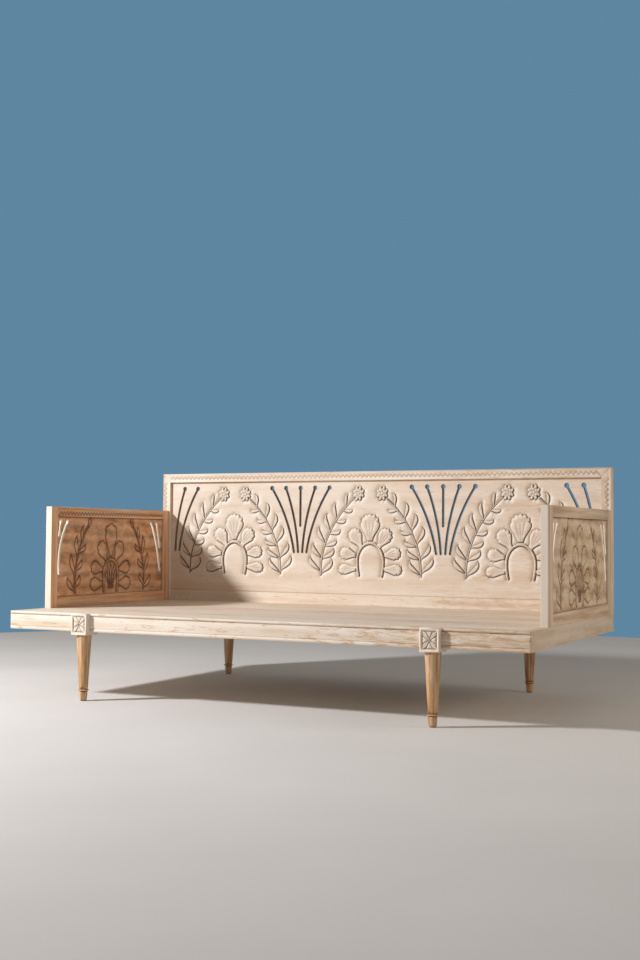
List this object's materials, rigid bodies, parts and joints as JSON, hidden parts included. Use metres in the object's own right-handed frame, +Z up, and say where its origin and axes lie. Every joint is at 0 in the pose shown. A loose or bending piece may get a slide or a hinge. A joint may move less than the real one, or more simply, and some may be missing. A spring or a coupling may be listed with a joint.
{
  "type": "carved daybed",
  "caption": "Carved wooden daybed: a plank deck on turned legs, with framed arms and a framed back, pierced by fans of slots.",
  "frame": {"origin": "on the floor, under the middle of the daybed", "axes": "+X along the daybed, to the right as seen from the front, +Y from the front to the back, +Z up"},
  "size_m": [2.03, 1.14, 0.883],
  "materials": {
    "carved_wood": "pale whitewashed hardwood, carved, matt",
    "deck_wood": "pale whitewashed hardwood boards, matt",
    "turned_wood": "turned natural hardwood, matt",
    "joint_wood": "plain hardwood",
    "fixing_steel": "zinc-plated steel",
    "glide_nylon": "moulded nylon"
  },
  "bodies": {
    "root": {"arm_bolts": "fixing_steel", "arm_bottom_rail_left": "carved_wood", "arm_bottom_rail_right": "carved_wood", "arm_front_stile_left": "carved_wood", "arm_front_stile_right": "carved_wood", "arm_inserts": "fixing_steel", "arm_panel_left": "carved_wood", "arm_panel_right": "carved_wood", "arm_rear_stile_left": "carved_wood", "arm_rear_stile_right": "carved_wood", "arm_screws": "fixing_steel", "arm_top_rail_left": "carved_wood", "arm_top_rail_right": "carved_wood", "arm_washers": "fixing_steel", "back_bolts": "fixing_steel", "back_bottom_rail": "carved_wood", "back_inserts": "fixing_steel", "back_panel": "carved_wood", "back_stile_left": "carved_wood", "back_stile_right": "carved_wood", "back_top_rail": "carved_wood", "back_washers": "fixing_steel", "block_screws": "fixing_steel", "cross_bearer_1": "deck_wood", "cross_bearer_2": "deck_wood", "cross_bearer_3": "deck_wood", "cross_bearer_4": "deck_wood", "cross_bearer_5": "deck_wood", "deck_plank_1": "deck_wood", "deck_plank_2": "deck_wood", "deck_plank_3": "deck_wood", "deck_plank_4": "deck_wood", "deck_plank_5": "deck_wood", "deck_plank_6": "deck_wood", "deck_plank_7": "deck_wood", "deck_screws": "fixing_steel", "end_cleat_left": "deck_wood", "end_cleat_right": "deck_wood", "foot_glides": "glide_nylon", "front_rail": "carved_wood", "left_rail": "carved_wood", "leg_block_front_left": "carved_wood", "leg_block_front_right": "carved_wood", "leg_block_rear_left": "carved_wood", "leg_block_rear_right": "carved_wood", "leg_bolts": "fixing_steel", "leg_front_left": "turned_wood", "leg_front_right": "turned_wood", "leg_inserts": "fixing_steel", "leg_rear_left": "turned_wood", "leg_rear_right": "turned_wood", "mitre_keys": "joint_wood", "rail_dowels": "joint_wood", "rear_rail": "carved_wood", "right_rail": "carved_wood", "screw_plugs": "joint_wood"}
  },
  "joints": []
}
